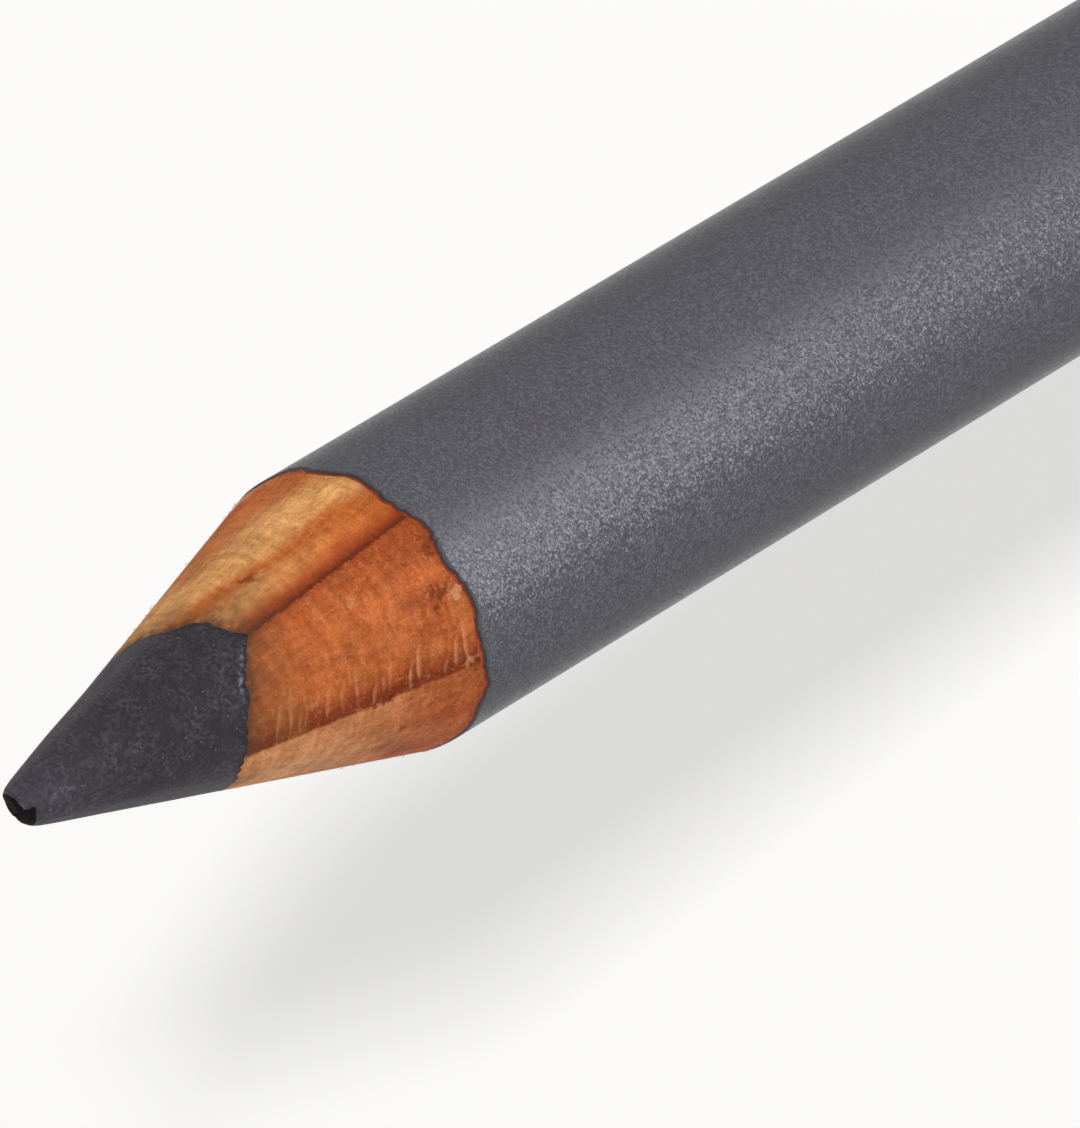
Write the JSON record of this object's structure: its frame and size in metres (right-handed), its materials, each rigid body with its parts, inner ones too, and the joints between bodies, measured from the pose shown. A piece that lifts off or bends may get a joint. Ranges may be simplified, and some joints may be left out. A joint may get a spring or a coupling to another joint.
{
  "type": "eyeliner pencil",
  "caption": "Round wood-cased cosmetic pencil with a soft wax core, sharpened and blunted by use, standing on its flat lacquered end.",
  "frame": {"origin": "centre of the flat lacquered end, on the surface that the pencil stands on", "axes": "+Z along the pencil from its flat end to its tip; the glue joint between the two slats lies in the YZ plane, and the worn face at the tip is highest towards -Y"},
  "size_m": [0.008, 0.008, 0.13],
  "materials": {
    "core": "dark charcoal wax, satin, finely granular",
    "wood_left": "freshly cut red cedar, deep orange-red",
    "wood_right": "freshly cut red cedar, light and dark growth bands",
    "lacquer": "satin blue-grey lacquer with fine metallic flake"
  },
  "bodies": {
    "root": {"core": "core", "slat_left": "wood_left", "slat_right": "wood_right", "lacquer": "lacquer"}
  },
  "joints": []
}
